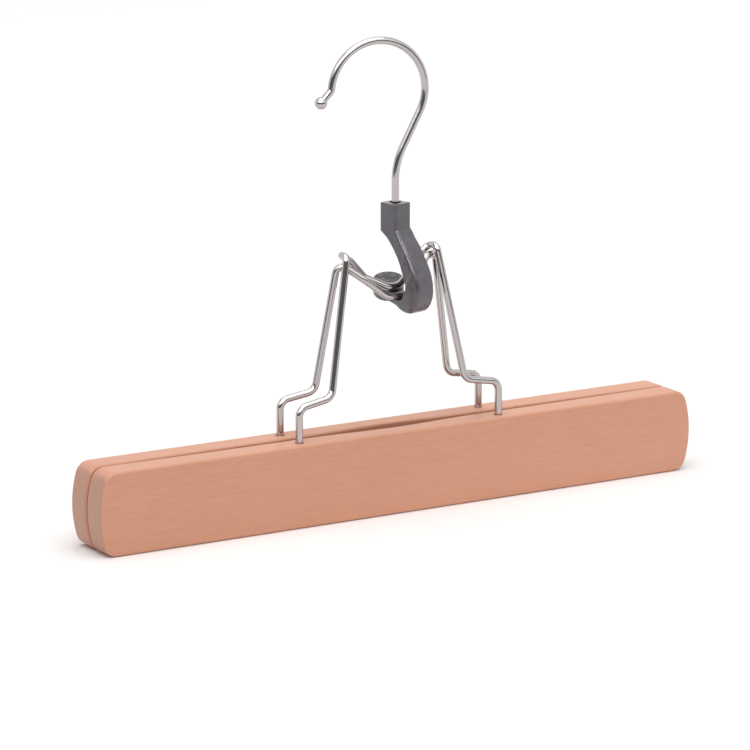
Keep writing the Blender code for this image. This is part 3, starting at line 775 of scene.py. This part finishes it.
def stem_socket(place):
    """A tool with a wide mouth, a bore for the stem and a chamber for its head."""
    bore, chamber = STEM_RADIUS + SOCKET_PLAY, HEAD_RADIUS + SOCKET_PLAY
    ceiling, floor = SOCKET_PLAY - HEAD_TOP, -STEM_DEPTH - SOCKET_PLAY
    profile = [(0.0, ABOVE), (MOUTH_RADIUS, ABOVE), (MOUTH_RADIUS, -MOUTH_DEPTH),
               (bore, -MOUTH_DEPTH), (bore, ceiling), (chamber, ceiling), (chamber, floor),
               (0.0, floor)]
    return spun("socket", profile, 48, Matrix.Translation(place))


# %% [markdown]
# The tongue and the knob join the body one after the other, and then the socket is cut.

# %% Join the clip
stem_top = (CLIP_AXIS + Vector((0.0, 0.0, CUP_FLOOR + BLOCK_TOP))) * MM
clip = clip_body()
carve(clip, [clip_tongue()], "UNION")
carve(clip, [clip_knob()], "UNION")
carve(clip, [stem_socket(stem_top)])
print("lock_clip", len(clip.data.polygons), "faces")

# %% [markdown]
# The clip is a smooth moulding: dark grey, a little cloudy, with a fine texture from its mould
# under a glossy skin. Round the knob the colour is strongly mottled and a little darker, its bump
# is stronger and it has no glossy skin.

# %% Clip finish
KNOB_MIDDLE, PATCH_INSIDE, PATCH_OUTSIDE = clip_spot(KNOB_FORWARD, 5.0), 5.6 * MM, 7.2 * MM

plastic = Finish("lock_clip_plastic", IOR=1.5, Coat_Roughness=0.08)
cloud = plastic.noise((90.0, 90.0, 90.0), detail=3.0)
blotch = plastic.noise((420.0, 420.0, 260.0), detail=3.0)
mould = plastic.noise((2600.0, 2600.0, 2600.0), detail=2.0)
to_knob = plastic.node("ShaderNodeVectorMath", {0: plastic.spot(), 1: tuple(KNOB_MIDDLE)},
                       output="Value", operation="DISTANCE")
# Round the knob the colour is mottled and a little darker, with more bump and no coat.
knob_patch = 1 - plastic.fade(to_knob, PATCH_INSIDE, PATCH_OUTSIDE)
tone = cloud * 0.55 + blotch * 0.45 + knob_patch * ((blotch - 0.5) * 3.4 - 0.05)
plastic.give("Base Color", plastic.node("ShaderNodeValToRGB", {"Fac": tone}, stops=[
    (0.10, (0.028, 0.024, 0.031)), (0.34, (0.056, 0.049, 0.061)),
    (0.68, (0.098, 0.086, 0.103)), (1.0, (0.160, 0.140, 0.162))]))
plastic.give("Roughness", blotch * 0.2 + 0.26)
plastic.give("Coat Weight", (1 - knob_patch) * 0.7)
plastic.give("Normal", plastic.bump(mould * 0.1 + knob_patch * blotch, 0.5, 0.4 * MM))
settle(polish(clip, angle=32.0), plastic, "lock_clip", "clip")
print("plastic nodes:", len(plastic.tree.nodes))

# %% [markdown]
# ## Hook
#
# The hook is one wire with a formed head inside the clip, which lets it turn, and a ball formed
# at its tip. Its line is a straight stem, a bend to the right, the round loop and a short kink.
# The line is drawn flat, in millimetres from the stem's place in the block's top.

# %% Draw the hook's line
HOOK_TURN, LOOP_END = math.radians(-8.0), math.radians(176.0)

loop_centre, loop_radius = Vector((-6.7, 41.1)), 18.25
bend_centre, bend_radius = Vector((26.0, 8.0)), 26.0
between = loop_centre - bend_centre
leave = (math.atan2(between.y, between.x)
         + math.acos(min(1.0, (bend_radius + loop_radius) / between.length)))
line = rounded(bend_centre, bend_radius, math.pi, leave, 24)
line += rounded(loop_centre, loop_radius, leave - math.pi, LOOP_END, 96)
print("the loop is", round(2 * (loop_radius - STEM_RADIUS), 1), "mm wide inside")

# %% [markdown]
# The head and the ball are formed on the wire, so the same curve carries them: its radius is wide
# below the stem, and at the last points it grows and shrinks again as a circle does.

# %% Make the hook
HEAD_STEP, BALL_RADIUS, BALL_BACK, BALL_DOWN, KINK_RADIUS = 0.05, 2.3, 4.0, 4.3, 1.6
BALL_STEPS, POLE_ANGLE = 24, 0.04


def hook_spot(reach, height):
    """A place in the hook's upright plane, from millimetres right of and above its stem's top."""
    side = Vector((math.cos(HOOK_TURN), math.sin(HOOK_TURN), 0.0))
    return stem_top + side * reach * MM + Vector((0.0, 0.0, height)) * MM


hook_path = [hook_spot(0.0, -depth) for depth in (STEM_DEPTH, HEAD_TOP + HEAD_STEP, HEAD_TOP)]
hook_swell = [HEAD_RADIUS / STEM_RADIUS, HEAD_RADIUS / STEM_RADIUS, 1.0]
hook_path += [hook_spot(reach, height) for reach, height in line]
kink_reach, kink_height = line[-1]
kink = hook_path.pop()
ball_centre = hook_spot(kink_reach - BALL_BACK, kink_height - BALL_DOWN)
run = (ball_centre - kink).normalized()
neck = math.asin(STEM_RADIUS / BALL_RADIUS)
hook_path += bent_wire([(hook_path[-1], 0.0), (kink, KINK_RADIUS * MM),
                        (ball_centre, 0.0)])[1:-1]
hook_swell += [1.0] * (len(hook_path) - len(hook_swell))
for step in range(BALL_STEPS + 1):
    angle = neck + (math.pi - POLE_ANGLE - neck) * step / BALL_STEPS
    hook_path.append(ball_centre - run * BALL_RADIUS * MM * math.cos(angle))
    hook_swell.append(BALL_RADIUS * math.sin(angle) / STEM_RADIUS)
hook = wire_piece("hook_chrome", hook_path, STEM_RADIUS * MM, hook_swell)
settle(hook, chrome_finish("hook_chrome"), "hook", "hook")

# %% [markdown]
# ## Floor and light
#
# The hanger stands on a pale floor, a little over two metres square, in a world that is plain
# white to the camera. A wide soft lamp above and a little in front gives the tops their light.

# %% Floor and lamp
FLOOR_HALF, FLOOR_DROP = 1.1, 0.1 * MM


def lay_floor(finish):
    """A square just below the bars' undersides, which belongs to the stage."""
    form = bmesh.new()
    bmesh.ops.create_grid(form, x_segments=1, y_segments=1, size=FLOOR_HALF)
    bmesh.ops.translate(form, vec=(0.0, 0.0, -FLOOR_DROP), verts=form.verts)
    plane = as_object("floor", form)
    plane.data.materials.append(finish.material)


def sun(name, way, width, strength):
    """A lamp so far off that its light comes one way, from a disc so many degrees wide."""
    data = bpy.data.lights.new(name, "SUN")
    data.angle = math.radians(width)
    data.energy = strength
    light = bpy.data.objects.new(name, data)
    light.rotation_euler = Vector(way).to_track_quat("Z", "Y").to_euler()
    bpy.context.scene.collection.objects.link(light)


lay_floor(Finish("floor_white", Base_Color=(0.93, 0.93, 0.93, 1.0), Roughness=0.9,
                 Specular_IOR_Level=0.0))
sun("top_lamp", way=(-0.04, -0.18, 1.0), width=60.0, strength=1.98)

# %% [markdown]
# Chrome shows what stands round it, and in an all white world it would look like white plastic.
# So the world looks different in a mirror: it has a low dark card behind the camera, a softbox
# above the card and a small bright lamp to the left, as a studio has. The floor ends before the
# horizon, so that the card also shows below it. None of them is seen by the camera itself.

# %% World
# Each pair says where a thing fades in or out, in parts of a ray's way: its height above the
# horizon, or how far it points to where the thing stands.
CARD_TOP, CARD_SIDE, CARD_SHADE = (0.26, 0.34), (0.20, 0.34), 0.84
SOFTBOX_FOOT, SOFTBOX_SIDE, SOFTBOX_LIGHT = (0.36, 0.46), (0.0, 0.4), 0.55
CORE_FOOT, CORE_TOP, CORE_SIDE, CORE_LIGHT = (0.44, 0.52), (0.66, 0.74), (0.66, 0.74), 6.0
CAMERA_WAY = (math.sin(azimuth), -math.cos(azimuth), 0.0)
CORE_WAY, SKY = (-0.67, -0.74, 0.0), 0.50


def studio_world():
    """White for the camera, a studio in reflections, and an even grey light for the rest."""
    world = bpy.data.worlds.new("studio")
    bpy.context.scene.world = world
    studio = Recipe(world)
    way = studio.node("ShaderNodeTexCoord", output="Generated")
    height = studio.node("ShaderNodeSeparateXYZ", {0: way}, output="Z")
    facing, lamp_side = [
        studio.node("ShaderNodeVectorMath", {0: way, 1: side}, output="Value",
                    operation="DOT_PRODUCT") for side in (CAMERA_WAY, CORE_WAY)]
    card = (1 - studio.fade(height, *CARD_TOP)) * studio.fade(facing, *CARD_SIDE)
    softbox = studio.fade(height, *SOFTBOX_FOOT) * studio.fade(facing, *SOFTBOX_SIDE)
    core = (studio.fade(height, *CORE_FOOT) * (1 - studio.fade(height, *CORE_TOP))
            * studio.fade(lamp_side, *CORE_SIDE))
    glossy_view = 1 - card * CARD_SHADE + softbox * SOFTBOX_LIGHT + core * CORE_LIGHT
    is_camera = studio.node("ShaderNodeLightPath", output="Is Camera Ray")
    is_glossy = studio.node("ShaderNodeLightPath", output="Is Glossy Ray")
    is_through = studio.node("ShaderNodeLightPath", output="Is Transmission Ray")
    mirrored = is_glossy.math("MAXIMUM", is_glossy, is_through)
    level = (is_camera + mirrored * glossy_view
             + (1 - is_camera) * (1 - mirrored) * SKY)
    sky = studio.tree.nodes["Background"]
    studio.feed(sky.inputs["Color"], (1.0, 1.0, 1.0, 1.0))
    studio.feed(sky.inputs["Strength"], level)
    print("world nodes:", len(studio.tree.nodes))


studio_world()
